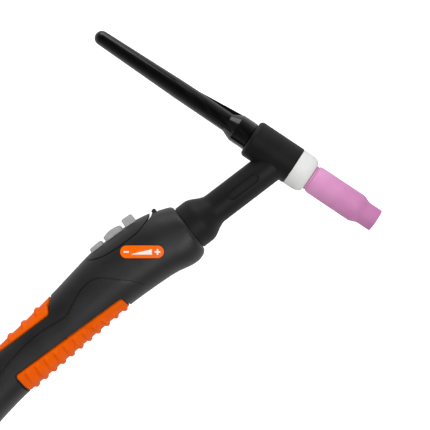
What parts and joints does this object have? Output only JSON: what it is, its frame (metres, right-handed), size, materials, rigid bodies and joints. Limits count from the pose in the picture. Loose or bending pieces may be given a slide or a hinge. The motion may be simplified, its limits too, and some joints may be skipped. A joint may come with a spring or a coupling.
{
  "type": "tig welding torch",
  "caption": "Water-cooled TIG welding torch with an angled head, ceramic cup, long back cap and a ribbed handle with push buttons.",
  "frame": {"origin": "centre of the torch's box at its base, where the torch lies flat on its left side", "axes": "+X along the handle and neck towards the head, +Y towards the buttons and the back cap, +Z out of the torch's right side, up as it lies"},
  "size_m": [0.2959, 0.1964, 0.0352],
  "materials": {
    "head_rubber": "matte black silicone rubber moulding",
    "cap_phenolic": "glossy black phenolic",
    "handle_nylon": "satin black glass-filled nylon, fine spark texture",
    "orange_grip": "soft matte orange elastomer",
    "orange_badge": "smooth orange plate with a plain white pictogram",
    "button_grey": "light grey moulded ABS",
    "pink_alumina": "fired pink alumina, fine satin",
    "white_ptfe": "white turned PTFE",
    "brass": "turned brass",
    "copper": "drawn copper",
    "tungsten": "ground tungsten rod",
    "screw_steel": "zinc plated steel",
    "board_green": "green circuit board",
    "switch_black": "black moulded switch body",
    "seal_rubber": "black nitrile"
  },
  "bodies": {
    "torch": {"torch_body_moulding": "head_rubber", "head_core": "brass", "gas_tube": "copper", "water_tube": "copper", "power_tube": "copper", "gas_nipple": "brass", "water_nipple": "brass", "power_adapter": "brass", "cup_gasket": "white_ptfe", "collet_body": "copper", "collet": "copper", "handle_shell_right": "handle_nylon", "handle_shell_left": "handle_nylon", "lower_grip": "orange_grip", "upper_grip": "orange_grip", "side_badge": "orange_badge", "switch_module_housing": "handle_nylon", "switch_board": "board_green", "front_switch": "switch_black", "middle_switch": "switch_black", "rear_switch": "switch_black", "handle_screw_1": "screw_steel", "handle_screw_2": "screw_steel", "handle_screw_3": "screw_steel", "handle_screw_4": "screw_steel", "cable_inlet_collar": "handle_nylon"},
    "front_button": {"front_button": "button_grey"},
    "middle_button": {"middle_button": "button_grey"},
    "rear_button": {"rear_button": "button_grey"},
    "cap_carrier": {"back_cap_o_ring": "seal_rubber"},
    "back_cap": {"back_cap": "cap_phenolic"},
    "ceramic_cup": {"ceramic_cup": "pink_alumina"},
    "electrode": {"tungsten_electrode": "tungsten"},
    "module_latch": {"module_latch": "handle_nylon"}
  },
  "joints": [
    {"name": "front_button_press", "type": "slide", "parent": "torch", "child": "front_button", "axis": [0, -1, 0], "range_m": [0, 0.0008], "stiffness_N_per_m": 1500},
    {"name": "middle_button_press", "type": "slide", "parent": "torch", "child": "middle_button", "axis": [0, -1, 0], "range_m": [0, 0.0008], "stiffness_N_per_m": 1500},
    {"name": "rear_button_press", "type": "slide", "parent": "torch", "child": "rear_button", "axis": [0, -1, 0], "range_m": [0, 0.0008], "stiffness_N_per_m": 1500},
    {"name": "back_cap_travel", "type": "slide", "parent": "torch", "child": "cap_carrier", "axis": [-0.3239, 0.9461, 0], "range_m": [0, 0.0077]},
    {"name": "back_cap_turn", "type": "hinge", "parent": "cap_carrier", "child": "back_cap", "pos_m": [0.1189, -0.0306, 0.01752], "axis": [-0.3239, 0.9461, 0], "range_deg": [0, 2160]},
    {"name": "cup_travel", "type": "slide", "parent": "torch", "child": "ceramic_cup", "axis": [0.3239, -0.9461, 0], "range_m": [0, 0.01]},
    {"name": "electrode_feed", "type": "slide", "parent": "torch", "child": "electrode", "axis": [0.3239, -0.9461, 0], "range_m": [-0.002, 0.01]},
    {"name": "latch_flex", "type": "hinge", "parent": "torch", "child": "module_latch", "pos_m": [0.03755, -0.014, 0.01752], "axis": [0, 0, -1], "range_deg": [0, 6], "stiffness_Nm_per_rad": 0.05}
  ],
  "couplings": [
    {"joint": "back_cap_travel", "follows": "back_cap_turn", "m_per_rad": 0.0002021}
  ]
}
